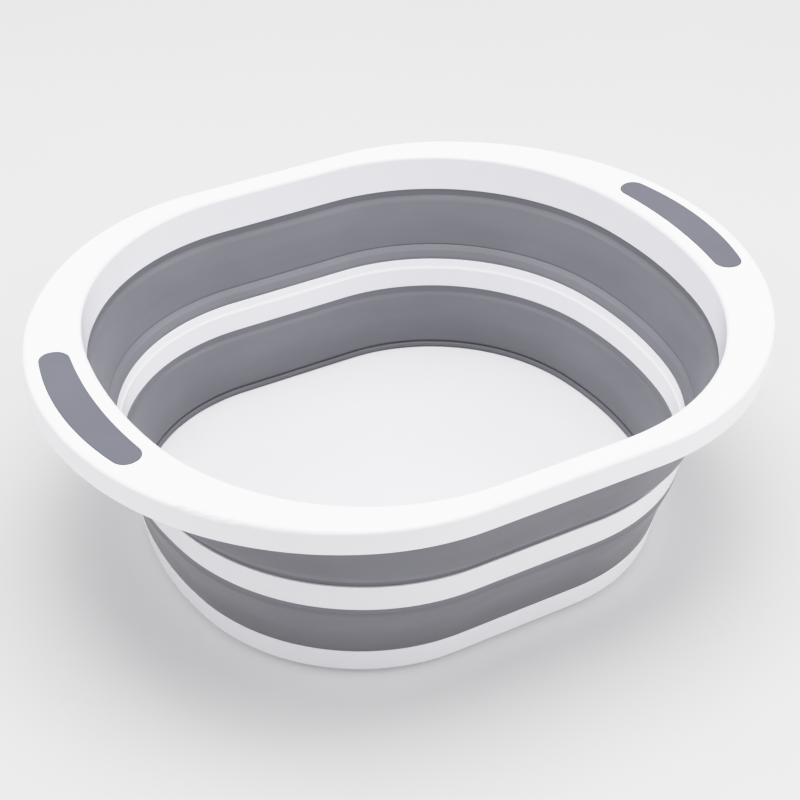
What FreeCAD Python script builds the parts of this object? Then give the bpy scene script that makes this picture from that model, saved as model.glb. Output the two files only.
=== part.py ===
"""Folding foot basin: three rigid plastic tiers joined by two soft fold bands.

Units are millimetres. The length runs along X, the width along Y, and Z is up with z = 0 on the
floor. The basin is modelled open, with both fold bands pulled taut.

Every tier follows one oval made of two straight sides, four corner arcs and two flat end arcs. All
tiers share the oval's arc centres, so a tier's wall is a profile of (offset, height) points, with
the offset counted outwards from the mouth of the middle ring.
"""
import math
import os
import FreeCAD, Part

V = FreeCAD.Vector

# Heights above the floor
RIM_TOP = 146.0
RIM_PLATE = 2.5          # thickness of the rim's top plate
SKIRT_BOTTOM = 131.3
COLLAR_BOTTOM = 122.7
RING_TOP = 78.0
RING_BOTTOM = 58.4       # inner edge of the middle ring
RING_OUTER_BOTTOM = 60.2
FLOOR_TOP = 16.6         # the surface the feet stand on
FLOOR_PLATE = 2.5
BASE_LIP_TOP = 19.9
LIP_FOOT = -10.4         # offset of the base's outer face at floor height
BASE_BOTTOM = 2.0        # the pads carry the base this far off the floor

# Tub oval: half-length and half-width at the middle ring's mouth
TUB_A, TUB_B = 165.7, 142.2
TUB_STRAIGHT = 39.5      # half-length of the straight side
TUB_CORNER = 124.6       # radius of the corner arcs
# Rim oval: the wider outer outline of the rim
RIM_A, RIM_B = 219.0, 172.7
RIM_STRAIGHT = 54.0
RIM_CORNER = 150.0

MOUTH = 15.8             # offset of the rim's mouth from the tub oval
MOUTH_ROUND = 2.5
CREASE_ROUND = 2.2       # rounding between the rim's top and its skirt
SKIRT_FLARE = 0.4
WALL = 2.3
# Tongues that the soft bands are moulded over: how far they reach out of the rigid tiers
COLLAR_TONGUE = 2.6
RING_TOP_TONGUE = 1.8
RING_LOWER_TONGUE = 1.2
PANEL_BOW = 60.0         # radius that bows the bands' long panels inwards

# Grip inserts in the two wide ends of the rim
GRIP_OUTER = -8.2        # offset from the rim oval
GRIP_INNER = 25.0        # offset from the tub oval
GRIP_CENTRE_X = -20.0    # the grip's ends point at this centre
GRIP_HALF_ANGLE = 14.4
GRIP_CORNER = 8.0
GRIP_POCKET = 1.2
GRIP_PROUD = 0.4

# Webs under the rim plate: angles in the first quadrant, repeated in the other three
WEB_ANGLES = (38.0, 58.0, 78.0)
WEB_THICK = 1.6
WEB_BOTTOM = 136.0

# Underside of the base
BASE_RIB_X = (-96.0, -48.0, 0.0, 48.0, 96.0)
BASE_RIB_Y = (-72.0, -36.0, 0.0, 36.0, 72.0)
BASE_RIB_THICK = 1.6
BASE_RIB_BOTTOM = 9.0
PAD_X, PAD_Y = 92.0, 74.0
PAD_RADIUS = 12.0
PAD_EDGE = 0.8
PLUG_RADIUS = 4.0
PLUG_TOP = 8.0
BOSS_RADIUS = 13.5
FIT_GAP = 0.05           # radial clearance round each pad's plug


class Oval:
    """An oval of straight sides, corner arcs and end arcs that meet tangentially."""

    def __init__(self, a, b, straight, corner):
        self.straight = straight
        self.corner = corner
        self.corner_y = b - corner
        reach = straight - a
        self.end = (corner**2 - reach**2 - self.corner_y**2) / (2 * (reach + corner))
        self.end_x = a - self.end
        self.split = math.atan2(self.corner_y, straight - self.end_x)

    def wire(self, offset, z):
        """The closed outline at one offset and height."""
        corner, end = self.corner + offset, self.end + offset
        right = arc(self.end_x, 0, end, -self.split, self.split, z)
        upper = arc(self.straight, self.corner_y, corner, self.split, math.pi / 2, z)
        x, y = self.straight, self.corner_y + corner
        top = Part.makeLine(V(x, y, z), V(-x, y, z))
        across = V(1, 0, 0)
        edges = [right, upper, top, mirrored(upper, across), mirrored(right, across)]
        down = V(0, 1, 0)
        edges += [mirrored(e, down) for e in (mirrored(upper, across), top, upper)]
        return Part.Wire(Part.__sortEdges__(edges))

    def slab(self, offset, low, high):
        """A flat plate of the oval's outline between two heights."""
        return Part.Face(self.wire(offset, low)).extrude(V(0, 0, high - low))

    def wall(self, profile):
        """Sweep a closed (offset, z) profile once round the oval."""
        x, y = self.straight, self.corner_y
        start = placed(profile, V(x, y + self.corner, 0))
        straight = start.extrude(V(-2 * x, 0, 0))
        turn = math.pi / 2 - self.split
        corner = start.revolve(V(x, y, 0), V(0, 0, 1), -math.degrees(turn))
        end = placed(profile, V(self.end_x, self.end, 0))
        end.rotate(V(self.end_x, 0, 0), V(0, 0, 1), -90 - math.degrees(self.split))
        end = end.revolve(V(self.end_x, 0, 0), V(0, 0, 1), 2 * math.degrees(self.split))
        across, down = V(1, 0, 0), V(0, 1, 0)
        corners = [corner, mirrored(corner, across)]
        corners += [mirrored(c, down) for c in corners]
        pieces = corners + [straight, mirrored(straight, down), end, mirrored(end, across)]
        return one_solid(pieces[0].multiFuse(pieces[1:]))


def arc(cx, cy, radius, start, stop, z):
    """A horizontal arc from one angle to another, in radians."""
    def at(angle):
        return V(cx + radius * math.cos(angle), cy + radius * math.sin(angle), z)
    return Part.Arc(at(start), at((start + stop) / 2), at(stop)).toShape()


def mirrored(shape, normal):
    return shape.mirror(V(0, 0, 0), normal)


def one_solid(shape):
    """Merge split faces and check that a single closed solid is left."""
    shape = shape.removeSplitter()
    if len(shape.Solids) != 1 or not shape.isValid():
        raise ValueError("expected one valid solid, got %d" % len(shape.Solids))
    return shape.Solids[0]


def placed(profile, origin):
    """A profile as a face in the plane X = origin.x, its offsets measured along +Y."""
    edges = []
    for kind, *points in outline(profile):
        ends = [origin + V(0, o, z) for o, z in points]
        edges.append(Part.makeLine(*ends) if kind == "line" else Part.Arc(*ends).toShape())
    return Part.Face(Part.Wire(edges))


def outline(profile):
    """Turn (offset, z[, rounding]) corners into line and arc segments."""
    count = len(profile)
    trims = []
    for i, corner in enumerate(profile):
        rounding = corner[2] if len(corner) > 2 else 0.0
        trims.append(rounded(profile[i - 1], corner, profile[(i + 1) % count], rounding))
    segments = []
    for i, (entry, middle, leave) in enumerate(trims):
        if middle:
            segments.append(("arc", entry, middle, leave))
        segments.append(("line", leave, trims[(i + 1) % count][0]))
    return segments


def rounded(before, corner, after, radius):
    """The entry, middle and exit points of a rounded corner."""
    here = corner[0], corner[1]
    if not radius:
        return here, None, here
    def toward(p):
        d = math.dist(here, p[:2])
        return (p[0] - here[0]) / d, (p[1] - here[1]) / d
    u, w = toward(before), toward(after)
    half = math.acos(u[0] * w[0] + u[1] * w[1]) / 2
    trim = radius / math.tan(half)
    bisector = (u[0] + w[0]) / (2 * math.cos(half)), (u[1] + w[1]) / (2 * math.cos(half))
    reach = radius / math.sin(half) - radius
    entry = here[0] + u[0] * trim, here[1] + u[1] * trim
    leave = here[0] + w[0] * trim, here[1] + w[1] * trim
    return entry, (here[0] + bisector[0] * reach, here[1] + bisector[1] * reach), leave


TUB = Oval(TUB_A, TUB_B, TUB_STRAIGHT, TUB_CORNER)
RIM = Oval(RIM_A, RIM_B, RIM_STRAIGHT, RIM_CORNER)


def rim_skirt():
    """The rim's outer skirt, nearly upright under a rounded edge."""
    under = RIM_TOP - RIM_PLATE
    inner = SKIRT_FLARE - WALL
    return RIM.wall([
        (-7.0, RIM_TOP), (0.0, RIM_TOP, CREASE_ROUND), (SKIRT_FLARE, SKIRT_BOTTOM, 0.6),
        (inner, SKIRT_BOTTOM, 0.6), (-WALL, under, 1.0), (-7.0, under)])


def rim_collar():
    """The collar that hangs from the mouth, with a tongue for the upper band to grip."""
    under = RIM_TOP - RIM_PLATE
    tongue = COLLAR_BOTTOM - COLLAR_TONGUE
    return TUB.wall([
        (MOUTH + 5.5, RIM_TOP), (MOUTH, RIM_TOP, MOUTH_ROUND), (13.9, COLLAR_BOTTOM, 0.3),
        (15.2, COLLAR_BOTTOM), (15.2, tongue), (15.8, tongue), (15.8, COLLAR_BOTTOM),
        (16.5, COLLAR_BOTTOM), (MOUTH + WALL, under), (MOUTH + 5.5, under)])


def rim_webs():
    """Upright webs that stiffen the hollow under the rim, away from the finger channels."""
    under = RIM_TOP - RIM_PLATE
    hollow = RIM.slab(-1.5, WEB_BOTTOM, under + 0.5).cut(TUB.slab(MOUTH + 1.5, 0, RIM_TOP))
    blades = []
    for angle in WEB_ANGLES:
        for turned in (angle, 180 - angle, -angle, angle - 180):
            blade = Part.makeBox(240, WEB_THICK, RIM_TOP, V(100, -WEB_THICK / 2, 0))
            blade.rotate(V(0, 0, 0), V(0, 0, 1), turned)
            blades.append(hollow.common(blade))
    return blades


def grip_outline(low, high):
    """A grip's rounded outline at the +X end, as a slab."""
    far = 240.0
    spread = far * math.tan(math.radians(GRIP_HALF_ANGLE))
    x = GRIP_CENTRE_X
    wedge = Part.Face(Part.makePolygon(
        [V(x, 0, low), V(x + far, -spread, low), V(x + far, spread, low), V(x, 0, low)]))
    wedge = wedge.extrude(V(0, 0, high - low))
    slab = RIM.slab(GRIP_OUTER, low, high).cut(TUB.slab(GRIP_INNER, low - 1, high + 1))
    slab = slab.common(wedge)
    upright = [e for e in slab.Edges if abs(e.tangentAt(e.FirstParameter).z) > 0.99]
    return one_solid(slab.makeFillet(GRIP_CORNER, upright))


def grip_insert():
    """A soft insert that fills its pocket and stands slightly proud with a rounded edge."""
    top = RIM_TOP + GRIP_PROUD
    body = grip_outline(RIM_TOP - GRIP_POCKET, top)
    rim_edges = [e for e in body.Edges if abs(e.BoundBox.ZMin - top) < 1e-6]
    return one_solid(body.makeFillet(GRIP_PROUD * 0.9, rim_edges))


def rim_frame():
    under = RIM_TOP - RIM_PLATE
    plate = RIM.slab(-6.0, under, RIM_TOP).cut(TUB.slab(MOUTH + 4.0, 0, RIM_TOP + 1))
    frame = plate.multiFuse([rim_skirt(), rim_collar()] + rim_webs())
    pocket = grip_outline(RIM_TOP - GRIP_POCKET, RIM_TOP + 1)
    return one_solid(frame.cut(pocket.fuse(mirrored(pocket, V(1, 0, 0)))))


def upper_fold_band():
    """Soft band from the collar to the ring.

    From the top, its inner face has a recessed hinge strip, a shoulder, a long panel, a notch at
    the crease and a rolled lower slope. Outside, the wall is undercut just above the ring.
    """
    tongue, seat = COLLAR_BOTTOM - COLLAR_TONGUE, RING_TOP + RING_TOP_TONGUE
    return TUB.wall([
        (14.8, COLLAR_BOTTOM), (14.8, 118.0, 0.3), (12.5, 116.0, 2.0), (7.3, 102.0, PANEL_BOW),
        (4.7, 87.0, 0.3), (5.1, 86.4, 0.3), (4.3, 85.8, 0.5), (2.0, 83.4, 4.0),
        (0.1, 79.6, 1.5), (0.1, RING_TOP), (0.4, RING_TOP), (0.4, seat), (0.8, seat),
        (0.8, RING_TOP), (1.1, RING_TOP), (1.1, 80.4, 0.6), (6.9, 86.8, 0.4), (8.0, 89.4, 0.6),
        (10.4, 102.0, PANEL_BOW), (15.2, 116.6, 1.2), (16.5, 118.6, 0.5), (16.5, COLLAR_BOTTOM),
        (15.8, COLLAR_BOTTOM), (15.8, tongue), (15.2, tongue), (15.2, COLLAR_BOTTOM)])


def middle_ring():
    """The rigid middle tier, with a tongue on each edge and a soft crest on its inner face."""
    seat, tongue = RING_TOP + RING_TOP_TONGUE, RING_BOTTOM - RING_LOWER_TONGUE
    return TUB.wall([
        (0.0, RING_TOP, 0.3), (-0.95, 73.2, 0.8), (-1.75, 71.6, 0.8),
        (-2.3, RING_BOTTOM, 0.3), (-1.6, RING_BOTTOM),
        (-1.6, tongue), (-1.2, tongue), (-1.2, RING_OUTER_BOTTOM), (0.1, RING_OUTER_BOTTOM, 0.3),
        (2.2, RING_TOP, 0.4), (0.8, RING_TOP), (0.8, seat), (0.4, seat), (0.4, RING_TOP)])


def lower_fold_band():
    """Soft band from the ring to the base, lapping inside the base's lip down to the floor.

    Its inner face has a recessed hinge strip, a shoulder, a long panel, a groove and a foot. The
    outer face has a thin neck under the strip that covers the ring's lower edge.
    """
    tongue = RING_BOTTOM - RING_LOWER_TONGUE
    return TUB.wall([
        (-2.0, RING_BOTTOM), (-2.0, 53.9, 0.3), (-3.6, 52.2, 2.0), (-8.7, 37.5, PANEL_BOW),
        (-12.1, 21.6, 0.3), (-11.1, 21.1, 0.2), (-11.1, 20.2, 0.2), (-12.6, 19.8, 0.3),
        (-13.3, 17.7, 0.3), (-12.7, 17.1, 0.1), (-12.7, FLOOR_TOP), (-12.2, FLOOR_TOP),
        (-12.2, BASE_LIP_TOP), (-10.4, BASE_LIP_TOP), (-6.5, 37.5, PANEL_BOW), (-1.0, 54.2, 1.5),
        (-1.35, 56.4, 0.4), (-0.1, 57.6, 0.3), (-0.1, RING_OUTER_BOTTOM),
        (-1.2, RING_OUTER_BOTTOM), (-1.2, tongue), (-1.6, tongue), (-1.6, RING_BOTTOM)])


def base_ribs():
    """A grid of shallow ribs under the floor plate."""
    inside = TUB.slab(-14.0, BASE_RIB_BOTTOM, FLOOR_TOP - 1)
    height = FLOOR_TOP - BASE_RIB_BOTTOM
    half = BASE_RIB_THICK / 2
    along = [Part.makeBox(400, BASE_RIB_THICK, height, V(-200, y - half, BASE_RIB_BOTTOM))
             for y in BASE_RIB_Y]
    across = [Part.makeBox(BASE_RIB_THICK, 400, height, V(x - half, -200, BASE_RIB_BOTTOM))
              for x in BASE_RIB_X]
    return [inside.common(rib) for rib in along + across]


def pad_places():
    return {"front_left": (-PAD_X, -PAD_Y), "front_right": (PAD_X, -PAD_Y),
            "back_left": (-PAD_X, PAD_Y), "back_right": (PAD_X, PAD_Y)}


def base_pan():
    """The flat-floored pan: outer wall on a rounded foot, floor plate, ribs and pad bosses."""
    under = FLOOR_TOP - FLOOR_PLATE
    wall = TUB.wall([
        (LIP_FOOT, FLOOR_TOP), (-16.0, FLOOR_TOP), (-16.0, under), (-13.8, under),
        (-15.0, 7.0), (-18.5, 5.0), (-18.5, BASE_BOTTOM, 0.5), (-12.8, BASE_BOTTOM, 4.0)])
    floor = TUB.slab(-15.0, under, FLOOR_TOP)
    pan = floor.multiFuse([wall] + base_ribs() + [
        Part.makeCylinder(BOSS_RADIUS, FLOOR_TOP - 1 - BASE_BOTTOM, V(x, y, BASE_BOTTOM))
        for x, y in pad_places().values()])
    for x, y in pad_places().values():
        depth = PLUG_TOP + 0.5 - BASE_BOTTOM
        pan = pan.cut(Part.makeCylinder(PLUG_RADIUS + FIT_GAP, depth, V(x, y, BASE_BOTTOM)))
    return one_solid(pan)


def base_lip():
    """The upstand round the floor that the lower band is moulded over, a solid of its own."""
    return TUB.wall([
        (-9.9, BASE_LIP_TOP, 0.3), (-12.2, BASE_LIP_TOP, 0.3), (-12.2, FLOOR_TOP),
        (LIP_FOOT, FLOOR_TOP)])


def foot_pad(x, y):
    """A soft push-in pad: a chamfered disc under the base with a plug up into its boss."""
    disc = Part.makeCylinder(PAD_RADIUS, BASE_BOTTOM, V(x, y, 0))
    disc = disc.makeChamfer(PAD_EDGE, [e for e in disc.Edges if e.BoundBox.ZMax < 0.01])
    plug = Part.makeCylinder(PLUG_RADIUS, PLUG_TOP - 1, V(x, y, 1))
    return one_solid(disc.fuse(plug))


def build():
    grip = grip_insert()
    nodes = {
        "rim_frame": rim_frame(),
        "right_grip_insert": grip,
        "left_grip_insert": mirrored(grip, V(1, 0, 0)),
        "upper_fold_band": upper_fold_band(),
        "middle_ring": middle_ring(),
        "lower_fold_band": lower_fold_band(),
        "base_pan": base_pan(),
        "base_lip": base_lip(),
    }
    for place, (x, y) in pad_places().items():
        nodes[place + "_foot_pad"] = foot_pad(x, y)
    return nodes


os.makedirs("parts", exist_ok=True)
for name, shape in build().items():
    shape.exportStep("parts/" + name + ".step")
    box = shape.BoundBox
    print("%-24s %9.1f mm3  z %.1f..%.1f" % (name, shape.Volume, box.ZMin, box.ZMax))
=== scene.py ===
"""Looks for the folding foot basin: fold bands as soft meshes, materials, light and camera."""
import math

import bmesh
import bpy
import numpy as np
from mathutils import Matrix, Vector

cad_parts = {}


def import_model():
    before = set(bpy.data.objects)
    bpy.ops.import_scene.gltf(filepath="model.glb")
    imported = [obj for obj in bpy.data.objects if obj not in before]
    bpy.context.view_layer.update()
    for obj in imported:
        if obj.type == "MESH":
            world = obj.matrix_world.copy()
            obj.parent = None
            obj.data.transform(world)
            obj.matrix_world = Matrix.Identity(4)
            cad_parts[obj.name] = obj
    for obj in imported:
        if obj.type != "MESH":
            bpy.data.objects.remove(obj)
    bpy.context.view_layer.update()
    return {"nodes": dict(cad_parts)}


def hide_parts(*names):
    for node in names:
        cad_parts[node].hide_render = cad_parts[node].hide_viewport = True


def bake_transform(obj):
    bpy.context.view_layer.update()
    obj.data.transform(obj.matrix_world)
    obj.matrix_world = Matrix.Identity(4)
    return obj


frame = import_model()

MM = 0.001
scene = bpy.context.scene


# ---------------------------------------------------------------- outline of the tub
class Oval:
    """Straight sides, corner arcs and end arcs that meet tangentially; offsets share centres."""

    def __init__(self, a, b, straight, corner):
        self.straight, self.corner, self.corner_y = straight, corner, b - corner
        reach = straight - a
        self.end = (corner**2 - reach**2 - self.corner_y**2) / (2 * (reach + corner))
        self.end_x = a - self.end
        self.split = math.atan2(self.corner_y, straight - self.end_x)

    def columns(self, count):
        """Points of the outline and their outward normals, evenly spaced, all the way round."""
        spans = [self.end * self.split, self.corner * (math.pi / 2 - self.split), self.straight]
        quarter = []
        for i in range(count // 4):
            s = sum(spans) * i / (count // 4)
            if s < spans[0]:
                angle, centre, radius = s / self.end, (self.end_x, 0.0), self.end
            elif s < spans[0] + spans[1]:
                angle = self.split + (s - spans[0]) / self.corner
                centre, radius = (self.straight, self.corner_y), self.corner
            else:
                angle, radius = math.pi / 2, self.corner
                centre = (self.straight - (s - spans[0] - spans[1]), self.corner_y)
            normal = np.array([math.cos(angle), math.sin(angle)])
            quarter.append((np.array(centre) + radius * normal, normal))
        quarter.append((np.array([0.0, self.corner_y + self.corner]), np.array([0.0, 1.0])))
        flip_x, flip_y = np.array([-1.0, 1.0]), np.array([1.0, -1.0])
        half = quarter + [(p * flip_x, n * flip_x) for p, n in reversed(quarter[:-1])]
        full = half + [(p * flip_y, n * flip_y) for p, n in reversed(half[1:-1])]
        points = np.array([p for p, _ in full])
        normals = np.array([n for _, n in full])
        return points, normals


TUB = Oval(165.7, 142.2, 39.5, 124.6)

# Fineness of the swept meshes, in mm except for the counts
COLUMNS = 440           # sections round the oval
STEP = 1.3              # longest straight piece of a profile
CORNER_POINTS = 6       # fewest points on a rounded corner
CORNER_SPACING = 0.6    # target distance between the points of a large rounding
SHARP_ANGLE = 40        # edges steeper than this stay sharp, in degrees


def fine_profile(corners):
    """Round the (offset, z[, radius]) corners of a closed profile and cut it into short steps."""
    count = len(corners)
    points = []
    for i, corner in enumerate(corners):
        here = np.array(corner[:2])
        if len(corner) < 3:
            points.append(here)
            continue
        u = np.array(corners[i - 1][:2]) - here
        w = np.array(corners[(i + 1) % count][:2]) - here
        u, w = u / np.linalg.norm(u), w / np.linalg.norm(w)
        half = math.acos(np.clip(u @ w, -1, 1)) / 2
        trim = corner[2] / math.tan(half)
        start, stop = here + u * trim, here + w * trim
        for t in np.linspace(0, 1, max(CORNER_POINTS, int(trim / CORNER_SPACING))):
            points.append((1 - t)**2 * start + 2 * t * (1 - t) * here + t**2 * stop)
    out = []
    for p, q in zip(points, points[1:] + points[:1]):
        cuts = max(1, int(np.linalg.norm(q - p) / STEP))
        out += [p + (q - p) * k / cuts for k in range(cuts)]
    return np.array(out)


def swept(name, oval, corners, wobble):
    """A closed tube of the profile swept round the oval; wobble shifts the offsets a little."""
    profile = fine_profile(corners)
    points, normals = oval.columns(COLUMNS)
    n, m = len(points), len(profile)
    height = np.broadcast_to(profile[:, 1], (n, m))
    angle = np.linspace(0, 2 * math.pi, n, endpoint=False)[:, None]
    offset = profile[:, 0] + wobble(angle, height)
    xy = points[:, None, :] + normals[:, None, :] * offset[:, :, None]
    verts = np.concatenate([xy, height[:, :, None]], axis=2).reshape(-1, 3) * MM
    i, j = np.meshgrid(np.arange(n), np.arange(m), indexing="ij")
    i2, j2 = (i + 1) % n, (j + 1) % m
    quads = np.stack([i * m + j, i * m + j2, i2 * m + j2, i2 * m + j], axis=2).reshape(-1, 4)
    mesh = bpy.data.meshes.new(name)
    mesh.from_pydata(verts.tolist(), [], quads.tolist())
    mesh.validate()
    obj = bpy.data.objects.new(name, mesh)
    scene.collection.objects.link(obj)
    mesh.shade_smooth()
    mesh.set_sharp_from_angle(angle=math.radians(SHARP_ANGLE))
    outward(mesh)
    return obj


def outward(mesh):
    """Point the faces out of the solid."""
    bm = bmesh.new()
    bm.from_mesh(mesh)
    bmesh.ops.recalc_face_normals(bm, faces=bm.faces)
    bm.to_mesh(mesh)
    bm.free()


# ---------------------------------------------------------------- materials
def material(name):
    """A new material with its node tree, its shader and its texture coordinates."""
    mat = bpy.data.materials.new(name)
    mat.use_nodes = True
    tree = mat.node_tree
    return mat, tree, tree.nodes["Principled BSDF"], tree.nodes.new("ShaderNodeTexCoord")


def noise(tree, coords, scale, detail, stretch=None):
    """The value of a noise in object space, stretched along the axes if asked."""
    node = tree.nodes.new("ShaderNodeTexNoise")
    node.inputs["Scale"].default_value = scale
    node.inputs["Detail"].default_value = detail
    place = coords.outputs["Object"]
    if stretch:
        mapping = tree.nodes.new("ShaderNodeMapping")
        mapping.inputs["Scale"].default_value = stretch
        tree.links.new(place, mapping.inputs["Vector"])
        place = mapping.outputs["Vector"]
    tree.links.new(place, node.inputs["Vector"])
    return node.outputs["Fac"]


def rgba(value):
    """A colour or a grey level as four channels."""
    return (*value, 1.0) if isinstance(value, tuple) else (value, value, value, 1.0)


def ramp(tree, value, low, high, start=0.3, stop=0.7):
    """Map a value between start and stop onto colours or greys between low and high."""
    node = tree.nodes.new("ShaderNodeValToRGB")
    first, last = node.color_ramp.elements
    first.position, last.position = start, stop
    first.color, last.color = rgba(low), rgba(high)
    tree.links.new(value, node.inputs["Fac"])
    return node.outputs["Color"]


def multiplied(tree, first, second):
    """The product of two colours."""
    node = tree.nodes.new("ShaderNodeVectorMath")
    node.operation = "MULTIPLY"
    tree.links.new(first, node.inputs[0])
    tree.links.new(second, node.inputs[1])
    return node.outputs["Vector"]


def bumped(tree, shader, layers):
    """Stack bump layers given as (height, strength, distance)."""
    normal = None
    for height, strength, distance in layers:
        node = tree.nodes.new("ShaderNodeBump")
        node.inputs["Strength"].default_value = strength
        node.inputs["Distance"].default_value = distance
        tree.links.new(height, node.inputs["Height"])
        if normal:
            tree.links.new(normal, node.inputs["Normal"])
        normal = node.outputs["Normal"]
    tree.links.new(normal, shader.inputs["Normal"])


def white_plastic(name, painted_up_shade_level=1.0):
    """Glossy moulded white plastic: a faint flow of tone and an orange-peel skin.

    The second argument paints shade: it darkens the faces that look straight up, such as the
    basin's floor, as the walls' shade would.
    """
    mat, tree, shader, coords = material(name)
    shader.inputs["IOR"].default_value = 1.49
    tone = ramp(tree, noise(tree, coords, 9.0, 3.0), (0.886, 0.884, 0.918), (0.913, 0.911, 0.945))
    split = tree.nodes.new("ShaderNodeSeparateXYZ")
    tree.links.new(coords.outputs["Normal"], split.inputs["Vector"])
    # painted shade: faces that look straight up get a darker colour
    painted_up_shade = ramp(tree, split.outputs["Z"], 1.0, painted_up_shade_level, 0.8, 0.98)
    tree.links.new(multiplied(tree, tone, painted_up_shade), shader.inputs["Base Color"])
    gloss = ramp(tree, noise(tree, coords, 70.0, 4.0), 0.16, 0.26)
    tree.links.new(gloss, shader.inputs["Roughness"])
    orange_peel = noise(tree, coords, 55.0, 1.0)
    fine_skin = noise(tree, coords, 900.0, 2.0)
    bumped(tree, shader, [(orange_peel, 0.05, 0.0006), (fine_skin, 0.03, 0.0001)])
    return mat


def painted_crease_shade(tree):
    """Painted shade: an ambient-occlusion factor that darkens the colour in grooves, hinge lines
    and overhung areas.
    """
    node = tree.nodes.new("ShaderNodeAmbientOcclusion")
    node.samples = 16
    node.inputs["Distance"].default_value = 0.045
    return ramp(tree, node.outputs["AO"], 0.38, 1.0, 0.3, 0.95)


def elastomer(name, dark, light, rough, grain):
    """Satin grey elastomer: soft mottling, faint flow streaks round the wall, a fine grain and
    painted shade in grooves and overhung areas.
    """
    mat, tree, shader, coords = material(name)
    shader.inputs["IOR"].default_value = 1.5
    shader.inputs["Sheen Weight"].default_value = 0.10
    shader.inputs["Sheen Roughness"].default_value = 0.5
    mottling = ramp(tree, noise(tree, coords, 14.0, 4.0, (1.0, 1.0, 2.0)), dark, light)
    streak = noise(tree, coords, 22.0, 3.0, (1.0, 1.0, 9.0))
    tone = multiplied(tree, mottling, ramp(tree, streak, 0.95, 1.0, 0.35, 0.75))
    # painted shade: the colour is darkened where ambient occlusion finds grooves, hinge lines and
    # overhangs
    tree.links.new(multiplied(tree, tone, painted_crease_shade(tree)), shader.inputs["Base Color"])
    gloss = ramp(tree, noise(tree, coords, 30.0, 5.0, (1.0, 1.0, 2.5)), *rough)
    tree.links.new(gloss, shader.inputs["Roughness"])
    swell = noise(tree, coords, 26.0, 1.0, (1.0, 1.0, 1.6))
    skin = noise(tree, coords, grain, 2.0)
    bumped(tree, shader, [(swell, 0.35, 0.0016), (streak, 0.10, 0.0004), (skin, 0.12, 0.00006)])
    return mat


def coat(obj, mat):
    """Give the object this material alone."""
    obj.data.materials.clear()
    obj.data.materials.append(mat)


WHITE = white_plastic("white_plastic")
# a copy of the white plastic with painted shade on its up-facing faces, for the base pan
BASE_WHITE_PAINTED_SHADE = white_plastic("base_white_painted_shade", 0.86)
BAND = elastomer("band_elastomer", (0.197, 0.1967, 0.2235), (0.222, 0.2217, 0.2515),
                 (0.34, 0.46), 2600.0)
GRIP = elastomer("grip_elastomer", (0.121, 0.125, 0.153), (0.137, 0.141, 0.172),
                 (0.42, 0.52), 3200.0)
PAD = elastomer("pad_elastomer", (0.17, 0.17, 0.19), (0.2, 0.2, 0.22), (0.55, 0.68), 2200.0)

for name, node in frame["nodes"].items():
    if "grip" in name:
        coat(node, GRIP)
    elif "pad" in name:
        coat(node, PAD)
    elif "band" in name:
        coat(node, BAND)
    elif name == "base_pan":
        coat(node, BASE_WHITE_PAINTED_SHADE)
    else:
        coat(node, WHITE)


# ---------------------------------------------------------------- fold bands
SLACK = 0.10            # largest unevenness of a band's wall, in mm, before the waves add up


def slack(turns, phase):
    """A very slight unevenness, as a soft moulded wall has, fading out at the bonded edges."""
    def shift(angle, height):
        low, high = height.min(), height.max()
        t = (height - low) / (high - low)
        away_from_edges = np.clip(np.minimum(t, 1 - t) * 5, 0, 1)
        wave = np.sin(turns * angle + phase) + 0.6 * np.sin((turns + 4) * angle - 2.1 * phase)
        return SLACK * away_from_edges * wave * np.sin(math.pi * (t * 1.3 + 0.1))
    return shift


# Closed profiles as (offset from the tub oval, z[, rounding]) in mm, inner face first
UPPER = [
    (14.8, 122.7), (14.8, 118.0, 0.3), (12.5, 116.0, 7.0), (7.3, 102.0, 62.0), (4.7, 87.0, 0.3),
    (5.1, 86.4, 0.3), (4.3, 85.8, 0.5), (2.0, 83.4, 4.0), (0.1, 79.6, 1.5), (0.1, 78.0),
    (0.4, 78.0), (0.4, 79.8), (0.8, 79.8), (0.8, 78.0), (1.1, 78.0), (1.1, 80.4, 0.6),
    (6.9, 86.8, 0.4), (8.0, 89.4, 0.6), (10.4, 102.0, 62.0), (15.2, 116.6, 1.2),
    (16.5, 118.6, 0.5), (16.5, 122.7), (15.8, 122.7), (15.8, 120.1), (15.2, 120.1),
    (15.2, 122.7)]
LOWER = [
    (-2.0, 58.4), (-2.0, 53.9, 0.3), (-3.6, 52.2, 7.0), (-8.7, 37.5, 80.0), (-12.1, 21.6, 0.3),
    (-11.1, 21.1, 0.2), (-11.1, 20.2, 0.2), (-12.6, 19.8, 0.3), (-13.3, 17.7, 0.3),
    (-12.7, 17.1, 0.1), (-12.7, 16.6), (-12.2, 16.6), (-12.2, 19.9), (-10.4, 19.9),
    (-6.5, 37.5, 80.0), (-1.0, 54.2, 1.5), (-1.35, 56.4, 0.4), (-0.1, 57.6, 0.3), (-0.1, 60.2),
    (-1.2, 60.2), (-1.2, 57.2), (-1.6, 57.2), (-1.6, 58.4)]

for name, corners, bodies, low, high, wave in (
        ("upper_band_skin", UPPER, ("ring", "rim"), 79.0, 122.0, slack(6, 0.7)),
        ("lower_band_skin", LOWER, ("base", "ring"), 22.0, 58.0, slack(5, 1.9))):
    band = swept(name, TUB, corners, wave)
    coat(band, BAND)
    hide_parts(name.replace("_band_skin", "_fold_band"))
    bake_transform(band)


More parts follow.
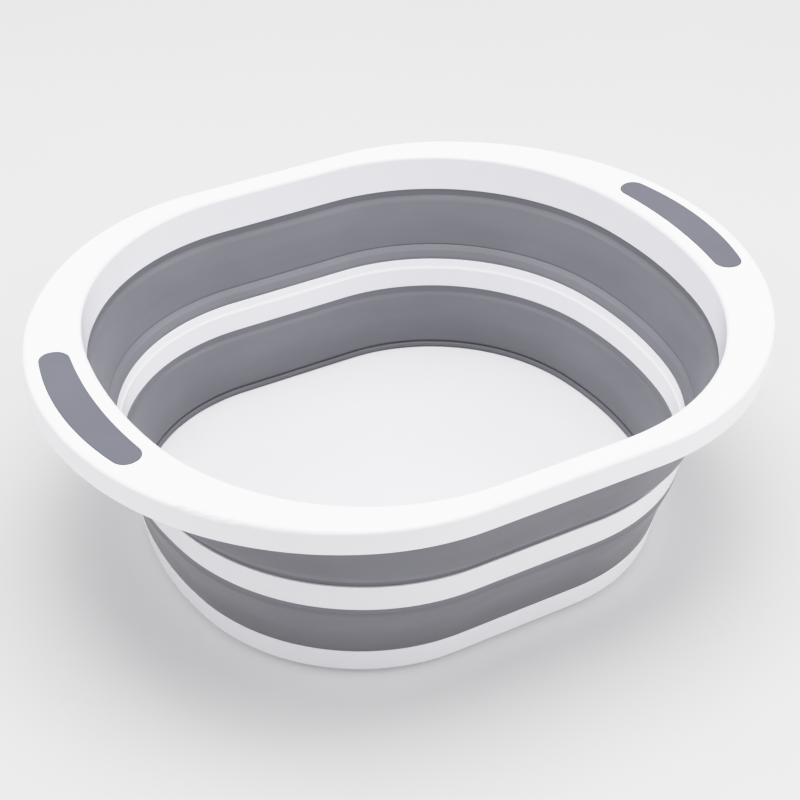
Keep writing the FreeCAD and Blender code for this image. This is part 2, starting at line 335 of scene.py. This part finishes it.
# ---------------------------------------------------------------- floor, light and camera
AZIMUTH, ELEVATION, ROLL = -31.86, 36.70, 1.99      # degrees
DISTANCE = 1.03092
LOOK_AT = Vector((-0.04774, -0.0737, 0.146))
LENS, SENSOR = 86.9, 36.0
FLOOR_REACH = 6.0
BASIN_CENTRE = Vector((0, 0, 0.07))
LIGHT_DISTANCE, LIGHT_SIZE = 1.6, 0.8
KNEE = 0.6              # the level above which highlights roll off
WHITEST = 3.0           # the brightest level the roll-off handles
# The sky's level by the height of the direction, from the horizon to straight up
SKY = ((0.0, 0.40), (0.2, 0.30), (0.6, 1.42), (1.0, 0.45))


def around(azimuth, elevation, distance):
    """A place seen from the basin's foot, with the azimuth counted like the camera's."""
    a, e = math.radians(azimuth), math.radians(elevation)
    return distance * Vector((math.sin(a) * math.cos(e), -math.cos(a) * math.cos(e), math.sin(e)))


def camera():
    data = bpy.data.cameras.new("camera")
    data.lens, data.sensor_width = LENS, SENSOR
    data.clip_start, data.clip_end = 0.05, 50.0
    cam = bpy.data.objects.new("camera", data)
    scene.collection.objects.link(cam)
    back = around(AZIMUTH, ELEVATION, 1.0)
    right = (-back).cross(Vector((0, 0, 1))).normalized()
    up = right.cross(-back)
    roll = math.radians(ROLL)
    right, up = (right * math.cos(roll) + up * math.sin(roll),
                 up * math.cos(roll) - right * math.sin(roll))
    axes = Matrix((right, up, back)).transposed().to_4x4()
    cam.matrix_world = Matrix.Translation(LOOK_AT + back * DISTANCE) @ axes
    scene.camera = cam


def softbox(name, place, size, power):
    """A square area light that faces the basin."""
    data = bpy.data.lights.new(name, "AREA")
    data.shape, data.size, data.size_y = "RECTANGLE", size, size
    data.energy = power
    light = bpy.data.objects.new(name, data)
    scene.collection.objects.link(light)
    light.location = place
    light.rotation_mode = "QUATERNION"
    light.rotation_quaternion = (BASIN_CENTRE - place).to_track_quat("-Z", "Y")


def floor():
    r = FLOOR_REACH
    mesh = bpy.data.meshes.new("floor")
    mesh.from_pydata([(-r, -r, 0), (r, -r, 0), (r, r, 0), (-r, r, 0)], [], [(0, 1, 2, 3)])
    obj = bpy.data.objects.new("floor", mesh)
    scene.collection.objects.link(obj)
    mat, tree, shader, coords = material("floor")
    shader.inputs["Roughness"].default_value = 0.6
    tone = ramp(tree, noise(tree, coords, 3.0, 3.0), 0.54, 0.56)
    tree.links.new(tone, shader.inputs["Base Color"])
    shader.inputs["Emission Color"].default_value = rgba(1.0)
    shader.inputs["Emission Strength"].default_value = 0.14
    coat(obj, mat)


def world():
    """A plain studio sky, brightest about half-way up."""
    scene.world = bpy.data.worlds.new("studio")
    scene.world.use_nodes = True
    tree = scene.world.node_tree
    coords = tree.nodes.new("ShaderNodeTexCoord")
    split = tree.nodes.new("ShaderNodeSeparateXYZ")
    sky = tree.nodes.new("ShaderNodeValToRGB")
    tree.links.new(coords.outputs["Generated"], split.inputs["Vector"])
    tree.links.new(split.outputs["Z"], sky.inputs["Fac"])
    for position, _ in SKY[1:-1]:
        sky.color_ramp.elements.new(position)
    for stop, (position, level) in zip(sky.color_ramp.elements, SKY):
        stop.position = position
        stop.color = (level * 0.985, level * 0.985, level, 1.0)
    background = tree.nodes["Background"]
    tree.links.new(sky.outputs["Color"], background.inputs["Color"])
    background.inputs["Strength"].default_value = 1.0


def shoulder(level):
    """The shown level: unchanged up to the knee, then rolling off towards white."""
    if level < KNEE:
        return level
    room = 1 - KNEE
    return KNEE + room * (1 - math.exp((KNEE - level) / room))


def highlight_shoulder():
    """Let bright levels roll off smoothly towards white instead of clipping."""
    view = scene.view_settings
    view.view_transform = "Standard"
    view.use_curve_mapping = True
    mapping = view.curve_mapping
    mapping.clip_max_x = WHITEST
    curve = mapping.curves[3]
    curve.points[0].location = (0.0, 0.0)
    curve.points[1].location = (WHITEST, shoulder(WHITEST))
    for level in (KNEE / 2, KNEE, 0.7, 0.8, 0.9, 1.0, 1.15, 1.3, 1.5, 1.8, 2.2):
        curve.points.new(level, shoulder(level))
    mapping.update()


camera()
floor()
world()
softbox("top_light", Vector((0.0, 0.05, 1.5)), 1.0, 15.0)
softbox("right_light", around(60, 35, LIGHT_DISTANCE), LIGHT_SIZE, 3.6)
softbox("right_low_light", around(40, 15, LIGHT_DISTANCE), LIGHT_SIZE, 2.2)
softbox("left_light", around(-110, 35, LIGHT_DISTANCE), LIGHT_SIZE, 2.4)
highlight_shoulder()
